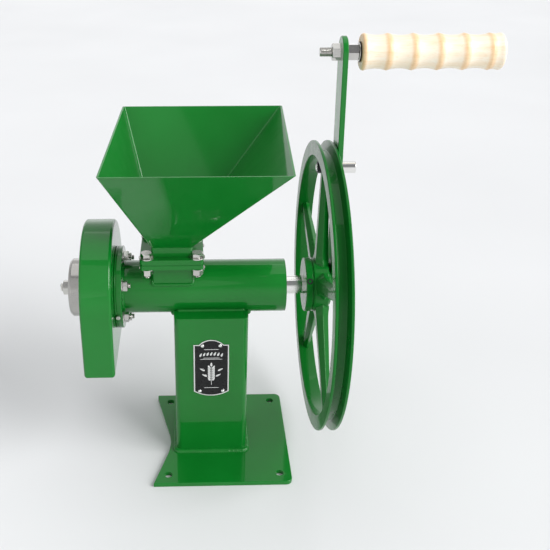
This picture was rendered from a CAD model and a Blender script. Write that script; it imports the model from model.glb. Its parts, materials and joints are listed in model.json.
"""Looks of the hand-cranked grain mill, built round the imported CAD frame. Lengths are in metres."""
import json
from math import acos, asin, atan2, cos, exp, hypot, pi, radians, sin, sqrt, tan

import bmesh
import bpy
from mathutils import Matrix, Vector, noise


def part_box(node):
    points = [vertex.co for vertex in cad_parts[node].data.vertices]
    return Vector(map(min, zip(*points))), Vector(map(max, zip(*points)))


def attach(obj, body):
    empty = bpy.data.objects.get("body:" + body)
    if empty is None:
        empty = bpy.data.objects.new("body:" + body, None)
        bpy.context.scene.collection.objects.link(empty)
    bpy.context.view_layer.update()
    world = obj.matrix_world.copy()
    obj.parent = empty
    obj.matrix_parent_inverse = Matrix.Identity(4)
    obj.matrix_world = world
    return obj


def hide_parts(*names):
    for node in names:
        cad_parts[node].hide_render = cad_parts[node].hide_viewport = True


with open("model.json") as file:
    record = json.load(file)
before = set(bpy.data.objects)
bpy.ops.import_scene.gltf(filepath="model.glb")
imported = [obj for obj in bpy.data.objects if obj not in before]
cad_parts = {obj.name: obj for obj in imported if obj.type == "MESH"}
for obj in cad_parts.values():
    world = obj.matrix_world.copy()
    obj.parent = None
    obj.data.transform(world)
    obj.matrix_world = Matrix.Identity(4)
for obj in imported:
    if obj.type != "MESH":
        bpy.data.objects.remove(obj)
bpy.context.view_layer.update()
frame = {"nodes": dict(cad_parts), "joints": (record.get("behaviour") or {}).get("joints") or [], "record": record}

MM = 0.001
TAU = 2 * pi

# inch screws and bolts: thread radius, pitch, and width of nut or head across its flats
R_5_16, PITCH_5_16, FLATS_5_16 = 3.93 * MM, 1.41 * MM, 12.7 * MM
R_3_8, PITCH_3_8, FLATS_3_8 = 4.7 * MM, 1.59 * MM, 14.3 * MM
R_1_2, PITCH_1_2, FLATS_1_2 = 6.3 * MM, 1.954 * MM, 19.05 * MM
WASHER_T = 1.6 * MM

BODY_OF = {node: body for body, nodes in frame["record"]["behaviour"]["bodies"].items() for node in nodes}
SLOT_OF = {part["node"]: part["material_slot"] for part in frame["record"]["subparts"]}


def low(node):
    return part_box(node)[0]


def high(node):
    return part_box(node)[1]


# ---------------------------------------------------------------- places read from the frame
JOINTS = {joint["name"]: joint for joint in frame["joints"]}
SHAFT = Vector(JOINTS["crank_spin"]["pos_m"])
HANDLE = Vector(JOINTS["handle_spin"]["pos_m"])
LEAN = atan2(HANDLE.y - SHAFT.y, HANDLE.z - SHAFT.z)      # how far spoke and arm lean to the back
CRANK_R = hypot(HANDLE.y - SHAFT.y, HANDLE.z - SHAFT.z)
STUD_MIDDLE = (low("stud_nut") + high("stud_nut")) / 2
STUD_AT = hypot(STUD_MIDDLE.y - SHAFT.y, STUD_MIDDLE.z - SHAFT.z)      # the arm's stud, from the shaft's axis

ON_SHAFT = Matrix.Translation((0, SHAFT.y, SHAFT.z))      # X stays, origin on the shaft's axis
IN_WHEEL = ON_SHAFT @ Matrix.Rotation(-LEAN, 4, "X")      # Z runs up the crank arm
AT_STUD = IN_WHEEL @ Matrix.Translation((0, 0, STUD_AT))
AT_HANDLE = IN_WHEEL @ Matrix.Translation((0, 0, CRANK_R))
UPRIGHT = Matrix.Rotation(-pi / 2, 4, "Y")                # turns a shape built along X to stand along Z

GRIP_LEFT, GRIP_RIGHT = low("handle_grip").x, high("handle_grip").x
GRIP_R = high("handle_grip").z - HANDLE.z
FIRST_RIDGE, RIDGE_PITCH, WAIST = 33.1 * MM, 32.3 * MM, 2.6 * MM
END_FALL, END_L = 3.5 * MM, 4.0 * MM                      # rounding of the grip's ends


# ---------------------------------------------------------------- shapes: (vertices, faces)
def moved(shape, matrix):
    verts, faces = shape
    return [matrix @ Vector(v) for v in verts], faces


def together(*shapes):
    verts, faces = [], []
    for some_verts, some_faces in shapes:
        start = len(verts)
        verts += some_verts
        faces += [tuple(i + start for i in face) for face in some_faces]
    return verts, faces


def grid_faces(rows, columns, closed_rows=False):
    """Quads over rows of vertices; each row is a closed loop of columns vertices."""
    faces = []
    for i in range(rows if closed_rows else rows - 1):
        for j in range(columns):
            k, n = (j + 1) % columns, (i + 1) % rows
            faces.append((i * columns + j, i * columns + k, n * columns + k, n * columns + j))
    return faces


def turned(profile, segments=96, closed=True):
    """Solid turned about the local X axis from (x, radius) points; angle 0 is up, positive to the back."""
    verts = [Vector((x, r * sin(TAU * k / segments), r * cos(TAU * k / segments)))
             for x, r in profile for k in range(segments)]
    return verts, grid_faces(len(profile), segments, closed)


def filleted(corners, radius, steps=3):
    """Closed outline of 2-D corners with each corner rounded; a corner may bring its own radius."""
    points = []
    count = len(corners)
    for i, corner in enumerate(corners):
        here = Vector(corner[:2])
        before, after = Vector(corners[i - 1][:2]) - here, Vector(corners[(i + 1) % count][:2]) - here
        r = corner[2] if len(corner) > 2 else radius
        half_angle = before.angle(after) / 2
        reach = min(r / max(tan(half_angle), 0.05), 0.45 * before.length, 0.45 * after.length)
        if r <= 0 or half_angle > radians(88):
            points.append(tuple(here))
            continue
        a, b = here + before.normalized() * reach, here + after.normalized() * reach
        for k in range(steps + 1):
            t = k / steps
            points.append(tuple(a * (1 - t) ** 2 + here * 2 * t * (1 - t) + b * t * t))
    return points


def lathed(corners, radius, segments=96, steps=3):
    return turned(filleted(corners, radius, steps), segments)


def ring_corners(left, right, inner, outer):
    return [(left, inner), (left, outer), (right, outer), (right, inner)]


def washer(left, right, inner, outer):
    return lathed(ring_corners(left, right, inner, outer), 0.25 * MM, 64)


def hex_prism(across_flats, left, right, bore, chamfer_left=False, chamfer_right=True):
    """Nut or bolt head about X with the arcs that turning its corners off leaves on the flats."""
    per_side = 12
    flat_r = across_flats / 2
    corner_cap = across_flats / sqrt(3) - 0.12 * MM
    crown = 0.955 * flat_r
    rims = [[] for _ in range(6)]
    for k in range(6 * per_side):
        angle = TAU * k / (6 * per_side)
        reach = min(flat_r / cos((angle % (TAU / 6)) - TAU / 12), corner_cap)
        drop = (reach - crown) * 0.577
        edge = 0.15 * MM
        ends = [(left, bore), (left, crown if chamfer_left else reach - edge),
                (left + (drop if chamfer_left else edge), reach),
                (right - (drop if chamfer_right else edge), reach),
                (right, crown if chamfer_right else reach - edge), (right, bore)]
        for rim, (x, r) in zip(rims, ends):
            rim.append(Vector((x, r * sin(angle), r * cos(angle))))
    verts = [v for rim in rims for v in rim]
    return verts, grid_faces(6, 6 * per_side, True)


def threaded(radius, pitch, left, right, soft_left=True, soft_right=True):
    """Screw thread about X, with its ends chamfered; closed by flat faces."""
    segments, per_turn = 40, 8
    depth = 0.54 * pitch
    rows = max(4, int((right - left) / pitch * per_turn))
    chamfer = 0.8 * pitch
    verts, faces = [], []
    for i in range(rows + 1):
        x = left + (right - left) * i / rows
        limit = radius
        if soft_left:
            limit = min(limit, radius - depth + max(0.0, x - left) * depth / chamfer)
        if soft_right:
            limit = min(limit, radius - depth + max(0.0, right - x) * depth / chamfer)
        for k in range(segments):
            phase = (x / pitch - k / segments) % 1.0
            wave = min(1.0, max(0.0, 1.25 * abs(2 * phase - 1) - 0.12))
            r = min(limit, radius - depth * wave)
            angle = TAU * k / segments
            verts.append(Vector((x, r * sin(angle), r * cos(angle))))
    faces = grid_faces(rows + 1, segments)
    faces.append(tuple(range(segments)))
    faces.append(tuple(rows * segments + k for k in reversed(range(segments))))
    return verts, faces


def rod(radius, left, right, edge=0.5 * MM, segments=48):
    """Plain rod about X with chamfered ends."""
    verts, faces = turned([(left, radius - edge), (left + edge, radius), (right - edge, radius),
                           (right, radius - edge)], segments, closed=False)
    faces.append(tuple(range(segments)))
    faces.append(tuple(3 * segments + k for k in reversed(range(segments))))
    return verts, faces


def prism(outline, bottom, top, edge=0.0):
    """Flat plate in local XY between two heights; edge is the chamfer round its top."""
    count = len(outline)
    centre = sum((Vector(p) for p in outline), Vector((0, 0))) / count
    rows = [[Vector((x, y, bottom)) for x, y in outline], [Vector((x, y, top - edge)) for x, y in outline]]
    if edge:
        inner = [Vector(p) + (centre - Vector(p)).normalized() * edge for p in outline]
        rows.append([Vector((p.x, p.y, top)) for p in inner])
    faces = grid_faces(len(rows), count)
    faces.append(tuple(range(count)))
    faces.append(tuple((len(rows) - 1) * count + k for k in reversed(range(count))))
    return [v for row in rows for v in row], faces


def swept(path, radius, closed=True, ripple=0.0, pitch=2.4 * MM, segments=14):
    """Round bead along a path, with the crescent ripples of a weld when ripple is above 0."""
    verts = []
    count = len(path)
    travelled = 0.0
    total = sum((path[(i + 1) % count] - path[i]).length for i in range(count if closed else count - 1))
    turns = max(1, round(total / pitch))
    for i, point in enumerate(path):
        if closed:
            ahead, behind = path[(i + 1) % count], path[i - 1]
        else:
            ahead, behind = path[min(i + 1, count - 1)], path[max(i - 1, 0)]
        along = (ahead - behind).normalized()
        side = along.cross(Vector((0, 0, 1)))
        if side.length < 0.05:
            side = along.cross(Vector((0, 1, 0)))
        side.normalize()
        rise = side.cross(along)
        taper = 1.0
        if not closed:
            taper = sqrt(min(1.0, (0.02 * radius + min(travelled, total - travelled)) / radius))
        for k in range(segments):
            angle = TAU * k / segments
            phase = turns * (travelled - 0.7 * radius * cos(angle)) / total
            wave = abs(sin(pi * phase)) ** 0.6
            uneven = noise.noise(point * 90) * 0.10 + noise.noise(point * 310) * 0.05
            r = radius * taper * (1 - ripple + ripple * wave + uneven * (ripple > 0))
            verts.append(point + side * (r * cos(angle)) + rise * (r * sin(angle)))
        if i + 1 < count:
            travelled += (path[i + 1] - point).length
    faces = grid_faces(count, segments, closed)
    if not closed:
        faces.append(tuple(range(segments)))
        faces.append(tuple((count - 1) * segments + k for k in reversed(range(segments))))
    return verts, faces


def resampled(points, step, closed=True):
    """Points at an even step along a polyline."""
    loop = points + [points[0]] if closed else points
    result = []
    for a, b in zip(loop, loop[1:]):
        pieces = max(1, round((b - a).length / step))
        result += [a.lerp(b, k / pieces) for k in range(pieces)]
    return result if closed else result + [points[-1]]


# ---------------------------------------------------------------- pieces
def mark_sharp(bm, smooth):
    limit = radians(smooth)
    for face in bm.faces:
        face.smooth = True
    for edge in bm.edges:
        edge.smooth = edge.calc_face_angle(0.0) < limit


def add_object(name, mesh, material):
    mesh.materials.clear()
    mesh.materials.append(material)
    piece = bpy.data.objects.new(name, mesh)
    bpy.context.scene.collection.objects.link(piece)
    normals = piece.modifiers.new("weighted_normals", "WEIGHTED_NORMAL")
    normals.keep_sharp = True
    return piece


def hand_in(piece, body, nodes):
    """Declares a piece: its body and the CAD nodes it stands for."""
    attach(piece, body)
    if nodes:
        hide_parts(*nodes)
    return piece


def make_piece(name, shape, node, smooth=35.0, stands_for=None, slot=None):
    """Piece from a shape, on the body and in the slot of a CAD node, which it stands for by default."""
    verts, faces = shape
    mesh = bpy.data.meshes.new(name)
    mesh.from_pydata([tuple(v) for v in verts], [], faces)
    bm = bmesh.new()
    bm.from_mesh(mesh)
    bmesh.ops.remove_doubles(bm, verts=bm.verts, dist=0.002 * MM)
    bmesh.ops.recalc_face_normals(bm, faces=bm.faces)
    mark_sharp(bm, smooth)
    bm.to_mesh(mesh)
    bm.free()
    finish_slot = slot or SLOT_OF[node]
    nodes = [node] if stands_for is None else stands_for
    return hand_in(add_object(name, mesh, MATERIALS[finish_slot]), BODY_OF[node], nodes)


def softened(node, width, segments=2, smooth=32.0):
    """Piece with a CAD node's shape and its edges rounded by width."""
    mesh = frame["nodes"][node].data.copy()
    bm = bmesh.new()
    bm.from_mesh(mesh)
    for face in bm.faces:
        face.material_index = 0
    bmesh.ops.remove_doubles(bm, verts=bm.verts, dist=0.005 * MM)
    bmesh.ops.dissolve_limit(bm, angle_limit=radians(0.4), verts=bm.verts, edges=bm.edges)
    corner = [e for e in bm.edges if e.calc_face_angle(0.0) > radians(38)]
    bmesh.ops.bevel(bm, geom=corner, offset=width, offset_type="OFFSET", segments=segments, profile=0.5,
                    affect="EDGES", clamp_overlap=True)
    bmesh.ops.triangulate(bm, faces=[f for f in bm.faces if len(f.verts) > 4])
    mark_sharp(bm, smooth)
    bm.to_mesh(mesh)
    bm.free()
    return hand_in(add_object(node + "_shell", mesh, MATERIALS[SLOT_OF[node]]), BODY_OF[node],
                   [node])


# ---------------------------------------------------------------- materials
class Finish:
    """A Principled material and the nodes that drive it."""

    def __init__(self, name, **values):
        self.material = bpy.data.materials.new(name)
        self.material.use_nodes = True
        self.tree = self.material.node_tree
        self.tree.nodes.clear()
        self.shader = self.node("ShaderNodeBsdfPrincipled")
        output = self.node("ShaderNodeOutputMaterial")
        self.link(self.shader.outputs["BSDF"], output.inputs["Surface"])
        for socket, value in values.items():
            self.shader.inputs[socket.replace("_", " ")].default_value = value
        self.place = self.node("ShaderNodeTexCoord").outputs["Object"]

    def node(self, kind, **settings):
        made = self.tree.nodes.new(kind)
        for key, value in settings.items():
            setattr(made, key, value)
        return made

    def link(self, source, target):
        self.tree.links.new(source, target)

    def stretched(self, scale):
        """Object coordinates scaled along each axis."""
        mapping = self.node("ShaderNodeMapping")
        mapping.inputs["Scale"].default_value = scale
        self.link(self.place, mapping.inputs["Vector"])
        return mapping.outputs["Vector"]

    def noise(self, scale, detail=3.0, rough=0.5, place=None, distortion=0.0):
        made = self.node("ShaderNodeTexNoise")
        made.inputs["Scale"].default_value = scale
        made.inputs["Detail"].default_value = detail
        made.inputs["Roughness"].default_value = rough
        made.inputs["Distortion"].default_value = distortion
        self.link(place or self.place, made.inputs["Vector"])
        return made.outputs["Fac"]

    def wave(self, crest, pitch):
        """0 to 1 and back along X, with a crest at every pitch."""
        value = self.node("ShaderNodeSeparateXYZ")
        self.link(self.place, value.inputs[0])
        value = value.outputs["X"]
        for operation, operand in (("SUBTRACT", crest), ("MULTIPLY", TAU / pitch), ("COSINE", 0.0),
                                   ("MULTIPLY", 0.5), ("ADD", 0.5)):
            step = self.node("ShaderNodeMath", operation=operation)
            step.inputs[1].default_value = operand
            self.link(value, step.inputs[0])
            value = step.outputs[0]
        return value

    def ramp(self, factor, stops, target=None):
        """Colour ramp over (position, colour) stops; a number stands for a grey."""
        made = self.node("ShaderNodeValToRGB")
        elements = made.color_ramp.elements
        while len(elements) < len(stops):
            elements.new(0.5)
        for element, (position, colour) in zip(elements, stops):
            element.position = position
            element.color = (*colour, 1) if isinstance(colour, tuple) else (colour, colour, colour, 1)
        self.link(factor, made.inputs["Fac"])
        if target:
            self.link(made.outputs["Color"], self.shader.inputs[target])
        return made.outputs["Color"]

    def bump(self, height, distance, strength=1.0, under=None):
        made = self.node("ShaderNodeBump")
        made.inputs["Strength"].default_value = strength
        made.inputs["Distance"].default_value = distance
        self.link(height, made.inputs["Height"])
        if under:
            self.link(under, made.inputs["Normal"])
        self.link(made.outputs["Normal"], self.shader.inputs["Normal"])
        return made.outputs["Normal"]

    def mix(self, factor, a, b, blend="MIX"):
        made = self.node("ShaderNodeMix", data_type="RGBA", blend_type=blend)
        for socket, value in ((made.inputs[0], factor), (made.inputs[6], a), (made.inputs[7], b)):
            if isinstance(value, bpy.types.NodeSocket):
                self.link(value, socket)
            else:
                socket.default_value = (*value, 1) if isinstance(value, tuple) else value
        return made.outputs[2]


def paint(name, roughness, peel, coat, cast=0.0, shade=1.0):
    """Glossy green enamel: slow colour drift, orange peel and, on castings, the sand's grain below it."""
    finish = Finish(name, Coat_Weight=coat, Coat_Roughness=0.05, Coat_IOR=1.45, Specular_IOR_Level=0.1)
    deep, pale = (0.0015, 0.158, 0.013), (0.0030, 0.192, 0.019)
    drift = [(0.3, tuple(shade * c for c in deep)), (0.7, tuple(shade * c for c in pale))]
    finish.ramp(finish.noise(9.0, 4.0), drift, "Base Color")
    finish.ramp(finish.noise(35.0, 3.0), [(0.3, roughness - 0.04), (0.7, roughness + 0.06)], "Roughness")
    under = None
    if cast:
        under = finish.bump(finish.noise(260.0, 5.0, 0.62), cast)
    under = finish.bump(finish.noise(26.0, 1.0), 0.10 * MM, 0.6, under)
    finish.bump(finish.noise(520.0, 2.0, 0.45), peel, 1.0, under)
    return finish.material


def metal(name, colour, spread, roughness, grain=(900.0, 900.0, 900.0), depth=0.004 * MM, uneven=0.07):
    """Bare or plated metal; grain stretches the tooling marks along an axis."""
    finish = Finish(name, Metallic=1.0)
    darker = tuple(c * (1 - spread) for c in colour)
    finish.ramp(finish.noise(42.0, 4.0, 0.6), [(0.3, darker), (0.7, colour)], "Base Color")
    marks = finish.noise(1.0, 3.0, 0.55, finish.stretched(grain))
    finish.ramp(marks, [(0.3, roughness - uneven), (0.7, roughness + uneven)], "Roughness")
    finish.bump(marks, depth)
    return finish.material


def wood():
    """Pale lacquered hardwood with its grain along X: rays, pores and slow bands."""
    finish = Finish("pale_wood", Coat_Weight=0.35, Coat_Roughness=0.22)
    bands = finish.noise(1.0, 5.0, 0.58, finish.stretched((9.0, 150.0, 150.0)), 0.6)
    fibre = finish.noise(1.0, 4.0, 0.6, finish.stretched((40.0, 1400.0, 1400.0)))
    slow = finish.ramp(bands, [(0.34, (0.92, 0.75, 0.53)), (0.5, (0.97, 0.84, 0.66)),
                               (0.66, (0.98, 0.89, 0.74))])
    lines = finish.ramp(fibre, [(0.33, (0.86, 0.74, 0.58)), (0.46, (1.0, 1.0, 1.0))])
    tinted = finish.mix(0.5, slow, lines, "MULTIPLY")
    worn = finish.ramp(finish.wave(GRIP_LEFT + FIRST_RIDGE, RIDGE_PITCH), [(0.74, 0.0), (0.97, 1.0)])
    rubbed = finish.mix(worn, (1.0, 1.0, 1.0), (0.95, 0.77, 0.58))
    finish.link(finish.mix(1.0, tinted, rubbed, "MULTIPLY"), finish.shader.inputs["Base Color"])
    finish.ramp(fibre, [(0.3, 0.52), (0.7, 0.38)], "Roughness")
    finish.bump(fibre, 0.03 * MM, 0.6)
    return finish.material


def enamel():
    """Baked black enamel of the nameplate's field."""
    finish = Finish("black_enamel", Coat_Weight=0.15, Coat_Roughness=0.1, Specular_IOR_Level=0.2)
    finish.ramp(finish.noise(120.0, 3.0), [(0.3, (0.006, 0.006, 0.007)), (0.7, (0.013, 0.013, 0.014))],
                "Base Color")
    finish.ramp(finish.noise(300.0, 2.0), [(0.3, 0.24), (0.7, 0.36)], "Roughness")
    finish.bump(finish.noise(700.0, 2.0), 0.006 * MM)
    return finish.material


def dull(name, dark, pale, roughness, scale, depth):
    """Non-metal without gloss, such as rubber or felt."""
    finish = Finish(name)
    grain = finish.noise(scale, 5.0, 0.65)
    finish.ramp(grain, [(0.3, dark), (0.7, pale)], "Base Color")
    finish.ramp(finish.noise(scale / 3, 2.0), [(0.3, roughness - 0.06), (0.7, roughness + 0.06)], "Roughness")
    finish.bump(grain, depth)
    return finish.material


MATERIALS = {
    "green_paint": paint("green_paint", 0.34, 0.012 * MM, 0.85),
    "green_cast": paint("green_cast", 0.30, 0.010 * MM, 0.42, 0.03 * MM, 0.75),
    "zinc_steel": metal("zinc_steel", (0.64, 0.63, 0.60), 0.15, 0.17, depth=0.002 * MM),
    "black_steel": metal("black_steel", (0.045, 0.045, 0.05), 0.35, 0.40, depth=0.01 * MM),
    "ground_steel": metal("ground_steel", (0.88, 0.87, 0.85), 0.06, 0.10,
                          (1500.0, 60.0, 60.0), 0.0005 * MM, 0.03),
    "cast_iron": metal("cast_iron", (0.24, 0.235, 0.23), 0.35, 0.52, depth=0.05 * MM),
    "aluminium": metal("aluminium", (0.46, 0.45, 0.43), 0.12, 0.20,
                          (1800.0, 50.0, 50.0), 0.001 * MM, 0.04),
    "bronze": metal("bronze", (0.58, 0.38, 0.17), 0.2, 0.34),
    "bright_rivet": metal("bright_rivet", (0.86, 0.86, 0.85), 0.08, 0.2),
    "felt": dull("felt", (0.30, 0.29, 0.27), (0.52, 0.50, 0.46), 0.92, 900.0, 0.15 * MM),
    "black_enamel": enamel(),
    "pale_wood": wood(),
}


# ---------------------------------------------------------------- pedestal and body
EDGE_MM = {"base_plate": 0.5, "column": 0.4, "column_caps": 0.3, "throat_tube": 0.4, "throat_flange": 0.7,
           "throat_gasket": 0.3, "hopper_flange": 0.7, "hopper": 0.45, "barrel": 0.8, "head_flange": 0.3,
           "burr_seat": 0.3, "guard": 0.35, "crank_arm": 0.5, "arm_spacer": 0.4, "bearing_carrier": 0.4}
for node, width in EDGE_MM.items():
    softened(node, width * MM)

COLUMN_HIGH = high("column")
PLATE_TOP = high("base_plate").z
BARREL_R = high("barrel").z - SHAFT.z


def rounded_square(half_x, half_y, corner, z):
    corners = [(-half_x, -half_y), (half_x, -half_y), (half_x, half_y), (-half_x, half_y)]
    outline = filleted(corners, corner, 8)
    return [Vector((x, y, z)) for x, y in outline]


def base_bead():
    """Fillet weld round the column's foot."""
    half = COLUMN_HIGH.x + 0.4 * MM
    path = resampled(rounded_square(half, half, 8 * MM, PLATE_TOP - 0.4 * MM), 0.45 * MM)
    return swept(path, 5.2 * MM, ripple=0.13, pitch=3.1 * MM, segments=20)


def cope_bead(side):
    """Weld under the barrel where a side wall of the column is coped round it."""
    reach = acos((SHAFT.z - COLUMN_HIGH.z) / BARREL_R)
    count = 150
    path = []
    for k in range(count + 1):
        angle = pi - reach + 2 * reach * k / count
        r = BARREL_R + 0.3 * MM
        path.append(Vector((side * (COLUMN_HIGH.x + 0.2 * MM), r * sin(angle), SHAFT.z + r * cos(angle))))
    return swept(path, 4.4 * MM, closed=False, ripple=0.13, pitch=3.0 * MM, segments=16)


def cap_bead(side):
    """Weld along the barrel on the column's closed top."""
    y = side * sqrt(BARREL_R ** 2 - (SHAFT.z - COLUMN_HIGH.z) ** 2)
    half = COLUMN_HIGH.x - 3 * MM
    ends = [Vector((-half, y, COLUMN_HIGH.z)), Vector((half, y, COLUMN_HIGH.z))]
    return swept(resampled(ends, 0.5 * MM, False), 3.4 * MM, closed=False, ripple=0.12, pitch=2.8 * MM)


def throat_bead():
    """Weld where the throat stands on the barrel."""
    centre = (low("throat_tube") + high("throat_tube")) / 2
    half = (high("throat_tube") - low("throat_tube")) / 2
    path = []
    for point in resampled(rounded_square(half.x, half.y, 3 * MM, 0), 0.5 * MM):
        path.append(Vector((centre.x + point.x, point.y, SHAFT.z + sqrt(BARREL_R ** 2 - point.y ** 2))))
    return swept(path, 2.3 * MM, ripple=0.12, pitch=2.4 * MM)


def head_bead():
    """Weld between barrel and head flange."""
    left = high("head_flange").x
    path = [Vector((left, BARREL_R * sin(TAU * k / 480), SHAFT.z + BARREL_R * cos(TAU * k / 480)))
            for k in range(480)]
    return swept(path, 2.7 * MM, ripple=0.12, pitch=2.6 * MM)


make_piece("base_weld_bead", base_bead(), "base_weld", 60)
make_piece("saddle_weld_beads", together(cope_bead(-1), cope_bead(1), cap_bead(-1), cap_bead(1)),
           "saddle_welds", 60)
make_piece("throat_weld_bead", throat_bead(), "throat_tube", 60, stands_for=[])
make_piece("head_weld_bead", head_bead(), "barrel_weld", 60)


# ---------------------------------------------------------------- hopper joint's fasteners
def flange_fasteners():
    """Four bolts with washers above the flanges, and washers and nuts below them."""
    bolts, washers, nuts = [], [], []
    bolt_low, bolt_high = low("flange_bolts"), high("flange_bolts")
    washer_low, washer_high = low("flange_washers"), high("flange_washers")
    nut_low, nut_high = low("flange_nuts"), high("flange_nuts")
    centre = (bolt_low + bolt_high) / 2
    spread_x = (bolt_high.x - bolt_low.x) / 2 - FLATS_3_8 / sqrt(3)
    spread_y = (bolt_high.y - bolt_low.y) / 2 - FLATS_3_8 / 2
    inner, outer = 4.9 * MM, 10.2 * MM
    turns = iter((4, 21, -13, 33))
    for side in (-1, 1):
        for end in (-1, 1):
            at = Matrix.Translation((centre.x + side * spread_x, centre.y + end * spread_y, 0)) @ UPRIGHT
            at = at @ Matrix.Rotation(radians(next(turns)), 4, "X")
            bolts.append(moved(together(
                hex_prism(FLATS_3_8, washer_high.z, bolt_high.z, 0.5 * MM),
                threaded(R_3_8, PITCH_3_8, bolt_low.z, washer_high.z, soft_right=False)), at))
            washers.append(moved(together(
                washer(washer_high.z - WASHER_T, washer_high.z, inner, outer),
                washer(washer_low.z, washer_low.z + WASHER_T, inner, outer)), at))
            nuts.append(moved(hex_prism(FLATS_3_8, nut_low.z, nut_high.z, 4.2 * MM, True, True), at))
    return together(*bolts), together(*washers), together(*nuts)


FLANGE_BOLTS, FLANGE_WASHERS, FLANGE_NUTS = flange_fasteners()
make_piece("flange_bolts_hex", FLANGE_BOLTS, "flange_bolts", 25)
make_piece("flange_washers_round", FLANGE_WASHERS, "flange_washers", 25)
make_piece("flange_nuts_hex", FLANGE_NUTS, "flange_nuts", 25)


# ---------------------------------------------------------------- burr head
def head_fasteners():
    """Six bolts through the head, with nuts on threads that stand out to the right."""
    nuts, bolts, washers = [], [], []
    left, right = low("head_bolts").x, high("head_bolts").x
    nut_left, nut_right = low("head_nuts").x, high("head_nuts").x
    circle_r = high("head_nuts").z - SHAFT.z - FLATS_5_16 / sqrt(3)
    neck = left + 3.6 * MM
    for k in range(6):
        at = ON_SHAFT @ Matrix.Rotation(TAU * k / 6, 4, "X") @ Matrix.Translation((0, 0, circle_r))
        at = at @ Matrix.Rotation(radians(17 * k), 4, "X")
        bolts.append(moved(together(rod(5.1 * MM, left, neck),
                                    threaded(R_5_16, PITCH_5_16, neck, right, False)), at))
        nuts.append(moved(hex_prism(FLATS_5_16, nut_left, nut_right, 3.5 * MM, True, True), at))
        washers.append(moved(washer(nut_left - WASHER_T, nut_left, 4.1 * MM, 7.9 * MM), at))
    return together(*bolts), together(*nuts), together(*washers)


HEAD_BOLTS, HEAD_NUTS, HEAD_WASHERS = head_fasteners()
make_piece("head_bolts_threaded", HEAD_BOLTS, "head_bolts", 25)
make_piece("head_nuts_hex", HEAD_NUTS, "head_nuts", 25)
make_piece("head_washers_round", HEAD_WASHERS, "head_washers", 25)


def knob_shape():
    """Turned knob: rounded rim, shallow face recess and stepped back."""
    left, right = low("adjusting_knob").x, high("adjusting_knob").x
    r = high("adjusting_knob").z - SHAFT.z
    rim_right = left + 19.7 * MM
    return lathed([(left + 0.4 * MM, 6.4 * MM), (left + 0.4 * MM, 14 * MM), (left + 1.2 * MM, 15 * MM),
                   (left + 1.2 * MM, r - 7 * MM, 0.4 * MM), (left, r - 6 * MM, 0.4 * MM),
                   (left, r - 3.2 * MM, 1.2 * MM), (left + 3.5 * MM, r, 1.6 * MM),
                   (rim_right, r, 0.8 * MM), (rim_right, r - 7 * MM), (left + 11 * MM, r - 9 * MM, 1.5 * MM),
                   (left + 11 * MM, 19 * MM, 1.5 * MM), (right, 19 * MM), (right, 6.4 * MM)],
                  0.5 * MM, 160)


make_piece("adjusting_knob_turned", moved(knob_shape(), ON_SHAFT), "adjusting_knob", 30)
make_piece("lock_nut_hex",
           moved(hex_prism(FLATS_1_2, low("lock_nut").x, high("lock_nut").x, 5.7 * MM, True, False),
                 ON_SHAFT @ Matrix.Rotation(radians(11), 4, "X")), "lock_nut", 25)


def shaft_shape():
    """Ground shaft with a threaded nose on the left."""
    left, right = low("main_shaft").x, high("main_shaft").x
    r, nose_r = 12.7 * MM, 6.25 * MM
    thread_end, shoulder = low("thrust_washer").x, low("burr_key").x - 1.5 * MM
    return together(rod(r, shoulder, right, 0.8 * MM, 96),
                    threaded(nose_r, PITCH_1_2, left, thread_end, True, False),
                    rod(nose_r, thread_end, shoulder + 0.5 * MM, 0.1 * MM))


make_piece("main_shaft_ground", moved(shaft_shape(), ON_SHAFT), "main_shaft", 25)


# ---------------------------------------------------------------- flywheel
WHEEL_LEFT, WHEEL_RIGHT = low("flywheel").x, high("flywheel").x
WHEEL_R = high("flywheel").z - SHAFT.z
RIM_RIGHT = WHEEL_RIGHT - 1.0 * MM
RIM_LEFT = RIM_RIGHT - 23.0 * MM
RIM_INNER_R = WHEEL_R - 20.5 * MM
HUB_R = 37.4 * MM
SPOKE_X = WHEEL_RIGHT - 12.0 * MM


def rim_shape():
    """Rim with a V-belt groove round it."""
    middle = (RIM_LEFT + RIM_RIGHT) / 2
    crest, floor_r, floor_half = 3.6 * MM, WHEEL_R - 13.5 * MM, 5.2 * MM
    return lathed([(RIM_LEFT, RIM_INNER_R + 0.2 * MM, 1.4 * MM), (RIM_LEFT, WHEEL_R, 1.3 * MM),
                   (RIM_LEFT + crest, WHEEL_R, 1.1 * MM), (middle - floor_half, floor_r, 1.0 * MM),
                   (middle + floor_half, floor_r, 1.0 * MM), (RIM_RIGHT - crest, WHEEL_R, 1.1 * MM),
                   (RIM_RIGHT, WHEEL_R, 1.3 * MM), (RIM_RIGHT, RIM_INNER_R + 0.2 * MM, 1.4 * MM),
                   (middle + 4 * MM, RIM_INNER_R - 0.2 * MM, 2.0 * MM),
                   (middle - 4 * MM, RIM_INNER_R - 0.2 * MM, 2.0 * MM)], 1 * MM, 288, 4)


def hub_shape():
    """Hub with a groove behind its collar and a smaller nose on the right."""
    bore, collar, nose_r, groove_r = 12.75 * MM, WHEEL_LEFT + 8.4 * MM, 30.0 * MM, HUB_R - 1.7 * MM
    return lathed([(WHEEL_LEFT, bore, 0.6 * MM), (WHEEL_LEFT, HUB_R, 1.8 * MM), (collar, HUB_R, 0.5 * MM),
                   (collar + 0.7 * MM, groove_r, 0.3 * MM), (collar + 2.1 * MM, groove_r, 0.3 * MM),
                   (collar + 2.8 * MM, HUB_R, 0.5 * MM), (SPOKE_X + 8 * MM, HUB_R, 2.2 * MM),
                   (SPOKE_X + 9 * MM, nose_r + 1 * MM, 1.2 * MM), (WHEEL_RIGHT, nose_r - 1 * MM, 0.8 * MM),
                   (WHEEL_RIGHT, bore, 0.6 * MM)], 1 * MM, 160, 4)


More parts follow.
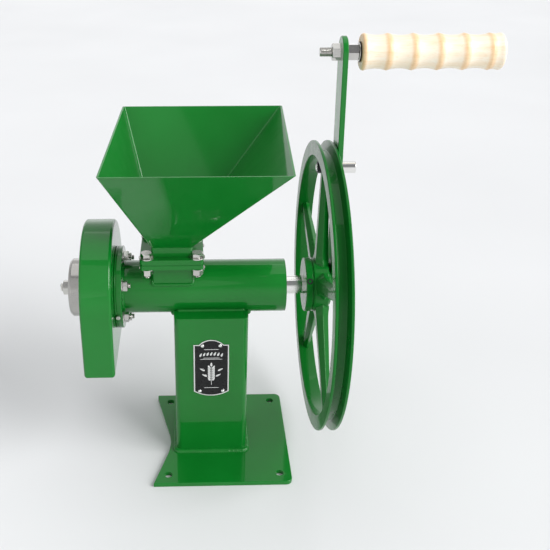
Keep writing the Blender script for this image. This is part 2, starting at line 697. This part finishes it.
def spoke_shape():
    """Cast spoke: six-sided section with softened edges, spreading where it meets hub and rim."""
    rows, columns = [], 0
    start, end = HUB_R - 5 * MM, RIM_INNER_R + 2.5 * MM
    steps = 56
    for i in range(steps + 1):
        t = i / steps
        z = start + (end - start) * (0.5 - 0.5 * cos(pi * t))
        share = (z - HUB_R) / (RIM_INNER_R - HUB_R)
        spread = exp(-max(0.0, z - HUB_R) / (5.5 * MM)) + 0.8 * exp(-max(0.0, RIM_INNER_R - z) / (5.5 * MM))
        half_x = (8.5 - 3.7 * share + 0.9 * spread) * MM
        flat = (7.5 - 2.5 * share + 4.0 * spread) * MM
        ridge = (13.0 - 4.5 * share + 5.0 * spread) * MM
        section = filleted([(-half_x, -flat), (0, -ridge), (half_x, -flat), (half_x, flat), (0, ridge),
                            (-half_x, flat)], 1.5 * MM, 3)
        rows += [Vector((SPOKE_X + x, y, z)) for x, y in section]
        columns = len(section)
    faces = grid_faces(steps + 1, columns)
    faces.append(tuple(range(columns)))
    faces.append(tuple(steps * columns + k for k in reversed(range(columns))))
    return rows, faces


def flywheel_shape():
    """Rim, hub, five spokes and the stud's boss."""
    spokes = [moved(spoke_shape(), Matrix.Rotation(-TAU * k / 5, 4, "X")) for k in range(5)]
    boss_half = 5.8 * MM
    boss = lathed(ring_corners(SPOKE_X - boss_half, SPOKE_X + boss_half, 4.8 * MM, 10 * MM), 0.9 * MM, 64)
    boss = moved(boss, Matrix.Translation((0, 0, STUD_AT)))
    return moved(together(rim_shape(), hub_shape(), boss, *spokes), IN_WHEEL)


make_piece("flywheel_cast", flywheel_shape(), "flywheel", 38)


def socket_screw(radius, bottom, top):
    """Set screw along X with a hexagon socket in its upper face."""
    per_side = 6
    rows = [[] for _ in range(5)]
    for k in range(6 * per_side):
        angle = TAU * k / (6 * per_side)
        hexagon = 0.58 * radius * cos(pi / 6) / cos(angle % (TAU / 6) - TAU / 12)
        sizes = [(bottom, radius), (top - 0.3 * MM, radius), (top, radius - 0.3 * MM), (top, hexagon),
                 (top - 2.5 * MM, hexagon)]
        for row, (x, r) in zip(rows, sizes):
            row.append(Vector((x, r * sin(angle), r * cos(angle))))
    faces = grid_faces(5, 6 * per_side)
    faces.append(tuple(range(6 * per_side)))
    faces.append(tuple(4 * 6 * per_side + k for k in reversed(range(6 * per_side))))
    return [v for row in rows for v in row], faces


SCREW_AT = (low("set_screw") + high("set_screw")) / 2 - SHAFT
SCREW_TURN = atan2(-SCREW_AT.y, SCREW_AT.z)
IN_HUB = Matrix.Translation((SCREW_AT.x, SHAFT.y, SHAFT.z)) @ Matrix.Rotation(SCREW_TURN, 4, "X") @ UPRIGHT
make_piece("set_screw_socket", moved(socket_screw(4.0 * MM, 14 * MM, HUB_R + 0.5 * MM), IN_HUB),
           "set_screw", 30)

# ---------------------------------------------------------------- crank
ARM_LEFT, ARM_RIGHT = low("crank_arm").x, high("crank_arm").x
BOLT_HOLE_R = 6.4 * MM                                    # of the washers on the crank's two bolts


def stud_shape():
    """Polished round stud with a thread through the arm and the spoke."""
    right, r = high("arm_stud").x, 7.95 * MM
    return together(
        lathed([(ARM_RIGHT, 0.2 * MM), (ARM_RIGHT, r), (right - 0.1 * MM, r, 1.2 * MM),
                (right, 6.0 * MM, 0.8 * MM), (right - 0.4 * MM, 0.2 * MM)], 0.2 * MM, 72, 4),
        threaded(R_3_8, PITCH_3_8, low("arm_stud").x, ARM_RIGHT, True, False))


make_piece("arm_stud_polished", moved(stud_shape(), AT_STUD), "arm_stud", 28)
make_piece("stud_nut_hex",
           moved(hex_prism(FLATS_3_8, low("stud_nut").x, high("stud_nut").x, 4.3 * MM, True, False), AT_STUD),
           "stud_nut", 25)


def bolt_head(across_flats, left, right):
    """Hex head with the shallow dish of a forged bolt in its face."""
    dish_r, floor_r, dish_depth = 0.31 * across_flats, 0.27 * across_flats, 0.5 * MM
    return together(hex_prism(across_flats, left, right, 0.3 * across_flats),
                    lathed([(left, 0.2 * MM), (left, dish_r), (right, dish_r), (right - dish_depth, floor_r),
                            (right - dish_depth, 0.2 * MM)], 0.1 * MM, 48))


make_piece("shaft_end_bolt_hex",
           moved(together(bolt_head(FLATS_1_2, high("shaft_end_washer").x, high("shaft_end_bolt").x),
                          rod(R_1_2, low("shaft_end_bolt").x, high("shaft_end_washer").x)), ON_SHAFT),
           "shaft_end_bolt", 25)
make_piece("shaft_end_washer_round",
           moved(washer(low("shaft_end_washer").x, high("shaft_end_washer").x, BOLT_HOLE_R, 13.4 * MM),
                 ON_SHAFT), "shaft_end_washer", 25)

BOLT_LEFT, BOLT_RIGHT = low("handle_bolt").x, high("handle_bolt").x
NUTS_LEFT, NUTS_RIGHT = low("handle_nuts").x, high("handle_nuts").x
HEAD_LEFT = BOLT_RIGHT - 7.9 * MM                         # under the bolt's head
THIN_WASHER_T = 1.2 * MM
FACE_WASHER = NUTS_RIGHT + THIN_WASHER_T
OUTER_NUT = hex_prism(FLATS_1_2, NUTS_LEFT, ARM_LEFT, 5.6 * MM, True, False)
INNER_NUT = moved(hex_prism(FLATS_1_2, ARM_RIGHT, NUTS_RIGHT, 5.6 * MM, True, True),
                  Matrix.Rotation(radians(30), 4, "X"))
make_piece("handle_bolt_threaded", moved(together(
    threaded(R_1_2, PITCH_1_2, BOLT_LEFT, NUTS_RIGHT, True, False),
    rod(R_1_2, NUTS_RIGHT, HEAD_LEFT, 0.1 * MM), bolt_head(FLATS_1_2, HEAD_LEFT, BOLT_RIGHT)), AT_HANDLE),
    "handle_bolt", 25)
make_piece("handle_nuts_hex", moved(together(OUTER_NUT, INNER_NUT), AT_HANDLE), "handle_nuts", 25)
make_piece("handle_washers_round", moved(together(
    washer(FACE_WASHER, FACE_WASHER + THIN_WASHER_T, BOLT_HOLE_R, 12.9 * MM),
    washer(HEAD_LEFT - WASHER_T, HEAD_LEFT, BOLT_HOLE_R, 11.4 * MM)), AT_HANDLE), "handle_washers", 25)
make_piece("handle_washer_bright", moved(washer(NUTS_RIGHT, FACE_WASHER, BOLT_HOLE_R, 11.9 * MM), AT_HANDLE),
           "handle_washers", 25, [], "zinc_steel")


def grip_shape():
    """Turned wooden grip: concave scallops between narrow ridges, rounded ends, bored for its bolt."""
    bore, counterbore_r, counterbore_depth = 6.5 * MM, 13.0 * MM, 14.0 * MM
    profile = [(GRIP_LEFT, bore), (GRIP_LEFT, GRIP_R - END_FALL)]
    profile += [(GRIP_LEFT + END_L * (1 - cos(a)), GRIP_R - END_FALL * (1 - sin(a)))
                for a in (pi / 2 * k / 7 for k in range(1, 7))]
    ridges = [GRIP_LEFT + FIRST_RIDGE + RIDGE_PITCH * k for k in range(5)]
    stations = [GRIP_LEFT + END_L] + ridges + [GRIP_RIGHT - END_L]
    crest = GRIP_R - 0.1 * MM
    for a, b in zip(stations, stations[1:]):
        waist = WAIST * min(1.0, (b - a) / RIDGE_PITCH)
        steps = 16
        for k in range(steps):
            t = k / steps
            profile.append((a + (b - a) * t, crest - waist * (1 - (2 * t - 1) ** 2)))
    profile += [(GRIP_RIGHT - END_L * (1 - cos(a)), crest - (END_FALL - 0.1 * MM) * (1 - sin(a)))
                for a in (pi / 2 * (8 - k) / 8 for k in range(1, 8))]
    floor_x, lip = GRIP_RIGHT - counterbore_depth, 0.6 * MM
    profile += [(GRIP_RIGHT, GRIP_R - END_FALL), (GRIP_RIGHT, counterbore_r + lip),
                (GRIP_RIGHT - lip, counterbore_r), (floor_x, counterbore_r), (floor_x, bore)]
    return turned(profile, 128)


make_piece("handle_grip_turned", moved(grip_shape(), AT_HANDLE), "handle_grip", 40)


# ---------------------------------------------------------------- nameplate
PLATE_LOW, PLATE_HIGH = low("nameplate"), high("nameplate")
ON_FACE = Matrix.Translation((0, PLATE_HIGH.y, 0)) @ Matrix.Rotation(pi / 2, 4, "X")   # XY drawing, Z out
PLATE_MIDDLE = (PLATE_LOW.z + PLATE_HIGH.z) / 2
CROWN_HALF, CORNER_RISE, SHOULDER_DROP = 17.0 * MM, 7.5 * MM, 8.0 * MM
BORDER_W, BORDER_TOP = 1.6 * MM, 1.2 * MM
MARK_BOTTOM, MARK_TOP = 0.7 * MM, 1.0 * MM                # raised marks on the field
RIVET_R, RIVET_SEAT = 2.6 * MM, 0.75 * MM


def bow(half, side_z, middle_z, steps=24):
    """Points of a circular arc from -half to half; the ends are left out."""
    rise = middle_z - side_z
    radius = (half ** 2 + rise ** 2) / (2 * abs(rise))
    centre = middle_z - radius if rise > 0 else middle_z + radius
    reach = asin(half / radius)
    angles = [reach * (2 * k / steps - 1) for k in range(1, steps)]
    return [(radius * sin(a), centre + (radius if rise > 0 else -radius) * cos(a)) for a in angles]


def plaque_outline(inset):
    """Crowned top, square shoulders and bowed bottom."""
    half, crown = PLATE_HIGH.x - inset, CROWN_HALF - 0.4 * inset
    corner, shoulder = PLATE_LOW.z + CORNER_RISE + 0.5 * inset, PLATE_HIGH.z - SHOULDER_DROP - inset
    points = [(-half, corner), (-half, shoulder), (-crown, shoulder)]
    points += bow(crown, shoulder, PLATE_HIGH.z - inset)
    points += [(crown, shoulder), (half, shoulder), (half, corner)]
    return points + bow(half, corner, PLATE_LOW.z + inset)[::-1]


def border_shape():
    """Raised frame round the plate, with both its upper edges bevelled."""
    bottom, bevel, bevel_z = 0.2 * MM, 0.25 * MM, BORDER_TOP - 0.15 * MM
    section = [(0.0, bottom), (0.0, bevel_z), (bevel, BORDER_TOP), (BORDER_W - bevel, BORDER_TOP),
               (BORDER_W, bevel_z), (BORDER_W, bottom)]
    rows = [[Vector((*p, z)) for p in plaque_outline(inset)] for inset, z in section]
    return [v for row in rows for v in row], grid_faces(len(rows), len(rows[0]), True)


def grain_kernel(x, z, angle, length, width):
    """Pointed oval in the plate's plane."""
    points = []
    for k in range(20):
        a = TAU * k / 20
        along, across = 0.5 * length * cos(a), 0.5 * width * sin(a) * (1 - 0.35 * cos(a))
        points.append((x + across * cos(angle) + along * sin(angle),
                       z + along * cos(angle) - across * sin(angle)))
    return prism(points, MARK_BOTTOM, MARK_TOP + 0.02 * MM, 0.08 * MM)


def ruled_line(half, z, thickness):
    """Thin line with pointed ends."""
    flank, rise = half - 2 * MM, thickness / 2
    return prism([(-half, z), (-flank, z + rise), (flank, z + rise), (half, z), (flank, z - rise),
                  (-flank, z - rise)], MARK_BOTTOM, MARK_TOP)


def ornament_shape():
    """An ear of wheat between ruled lines and rows of kernels."""
    foot, neck = PLATE_MIDDLE - 28 * MM, PLATE_MIDDLE + 4 * MM
    marks = [prism([(-0.35 * MM, foot), (0.35 * MM, foot), (0.2 * MM, neck), (-0.2 * MM, neck)],
                   MARK_BOTTOM, MARK_TOP)]
    for k in range(6):
        z = PLATE_MIDDLE + (3.9 * k - 18) * MM
        for side in (-1, 1):
            marks.append(grain_kernel(side * 3.1 * MM, z, side * 0.52, 6.6 * MM, 2.9 * MM))
    marks.append(grain_kernel(0, PLATE_MIDDLE + 6.2 * MM, 0.0, 6.6 * MM, 2.9 * MM))
    for side in (-1, 1):
        for k in range(2):
            marks.append(grain_kernel(side * (9.5 + 3.2 * k) * MM, PLATE_MIDDLE + (9.5 * k - 12) * MM,
                                      side * 1.05, 8.0 * MM, 2.5 * MM))
    for k in range(-3, 4):
        z = PLATE_MIDDLE + (24 - 0.22 * k * k) * MM
        marks.append(grain_kernel(4.9 * k * MM, z, 0.4, 6.2 * MM, 2.6 * MM))
    for z, half, thickness in ((15, 16, 0.7), (17, 12, 0.7), (31, 11, 0.8), (-33, 11, 0.8)):
        marks.append(ruled_line(half * MM, PLATE_MIDDLE + z * MM, thickness * MM))
    return together(*marks)


def rivet_shape():
    """Domed rivet heads with a low rim."""
    rim, centre_r, dome_h = RIVET_SEAT + 0.2 * MM, 0.02 * MM, 1.2 * MM
    dome = [(RIVET_SEAT, RIVET_R), (rim, RIVET_R)]
    dome += [(rim + dome_h * sin(a), (RIVET_R - 0.15 * MM) * cos(a) + centre_r)
             for a in (pi / 2 * k / 9 for k in range(1, 10))]
    shape = turned(dome + [(RIVET_SEAT, centre_r)], 40)
    lowest, highest = low("nameplate_rivets"), high("nameplate_rivets")
    wide, narrow = highest.x - RIVET_R, highest.x - RIVET_R - 3.9 * MM
    top_z, bottom_z = highest.z - RIVET_R, lowest.z + RIVET_R
    places = ((-wide, bottom_z), (wide, bottom_z), (-narrow, top_z), (narrow, top_z))
    return together(*(moved(shape, Matrix.Translation((x, z, 0)) @ UPRIGHT) for x, z in places))


make_piece("nameplate_field", moved(prism(plaque_outline(0.8 * MM), 0, 0.8 * MM), ON_FACE), "nameplate", 30)
make_piece("nameplate_border", moved(border_shape(), ON_FACE), "nameplate", 30, [], "bright_rivet")
make_piece("nameplate_ornament", moved(ornament_shape(), ON_FACE), "nameplate", 30, [], "bright_rivet")
make_piece("nameplate_rivets_domed", moved(rivet_shape(), ON_FACE), "nameplate_rivets", 35)

# every CAD node that still shows gets its slot's finish
for node, shown in frame["nodes"].items():
    if not shown.hide_render:
        for material_slot in shown.material_slots:
            material_slot.material = MATERIALS[SLOT_OF[node]]


# ---------------------------------------------------------------- floor, light, camera
def floor():
    """Pale floor, wide enough to fill every view."""
    finish = Finish("pale_floor", Specular_IOR_Level=0.25)
    finish.ramp(finish.noise(1.6, 2.0), [(0.3, (0.72, 0.725, 0.735)), (0.7, (0.75, 0.755, 0.765))],
                "Base Color")
    finish.ramp(finish.noise(3.0, 2.0), [(0.3, 0.55), (0.7, 0.65)], "Roughness")
    mesh = bpy.data.meshes.new("studio_floor")
    reach = 14.0
    mesh.from_pydata([(-reach, -reach, 0), (reach, -reach, 0), (reach, reach, 0), (-reach, reach, 0)], [],
                     [(0, 1, 2, 3)])
    mesh.materials.append(finish.material)
    ground = bpy.data.objects.new("studio_floor", mesh)
    bpy.context.scene.collection.objects.link(ground)


def soft_light(name, place, irradiance, width):
    """Wide studio light, far away in the direction of place; width is its apparent size in degrees."""
    lamp = bpy.data.lights.new(name, "SUN")
    lamp.energy = irradiance
    lamp.angle = radians(width)
    holder = bpy.data.objects.new(name, lamp)
    holder.location = place
    holder.rotation_euler = (-Vector(place)).to_track_quat("-Z", "Y").to_euler()
    bpy.context.scene.collection.objects.link(holder)


def surroundings(wall, ceiling):
    """Studio round the object: pale walls up to a dimmer ceiling."""
    world = bpy.data.worlds.new("studio")
    world.use_nodes = True
    tree = world.node_tree
    place = tree.nodes.new("ShaderNodeTexCoord").outputs["Generated"]
    split = tree.nodes.new("ShaderNodeSeparateXYZ")
    ramp = tree.nodes.new("ShaderNodeValToRGB")
    ends = ramp.color_ramp.elements
    ends[0].position, ends[0].color = 0.10, (wall * 0.97, wall * 0.985, wall, 1)
    ends[1].position, ends[1].color = 0.42, (ceiling * 0.95, ceiling * 0.97, ceiling, 1)
    tree.links.new(place, split.inputs[0])
    tree.links.new(split.outputs["Z"], ramp.inputs["Fac"])
    tree.links.new(ramp.outputs["Color"], tree.nodes["Background"].inputs["Color"])
    bpy.context.scene.world = world


def camera():
    """Camera above and in front of the mill, looking down at it."""
    yaw, pitch, roll = radians(1.736), radians(26.804), radians(0.173)
    lens = bpy.data.cameras.new("photo_view")
    lens.sensor_width = 36.0
    lens.lens = 54.38
    lens.shift_x, lens.shift_y = 0.1053, -0.0479
    lens.clip_start, lens.clip_end = 0.02, 60.0
    holder = bpy.data.objects.new("photo_view", lens)
    turn = Matrix.Rotation(-yaw, 4, "Z") @ Matrix.Rotation(pi / 2 - pitch, 4, "X")
    turn = turn @ Matrix.Rotation(roll, 4, "Z")
    holder.matrix_world = Matrix.Translation((-0.02153, -1.01014, 0.82481)) @ turn
    bpy.context.scene.collection.objects.link(holder)
    bpy.context.scene.camera = holder


floor()
surroundings(0.85, 0.25)
soft_light("key_right", (1.9, -1.0, 1.5), 3.2, 45)
soft_light("fill_left", (-1.5, -1.9, 1.5), 0.5, 70)
soft_light("top", (-0.2, 0.5, 2.0), 0.75, 60)
soft_light("back_wall", (0.3, 2.0, 0.9), 0.4, 60)
camera()
bpy.context.scene.view_settings.view_transform = "Standard"
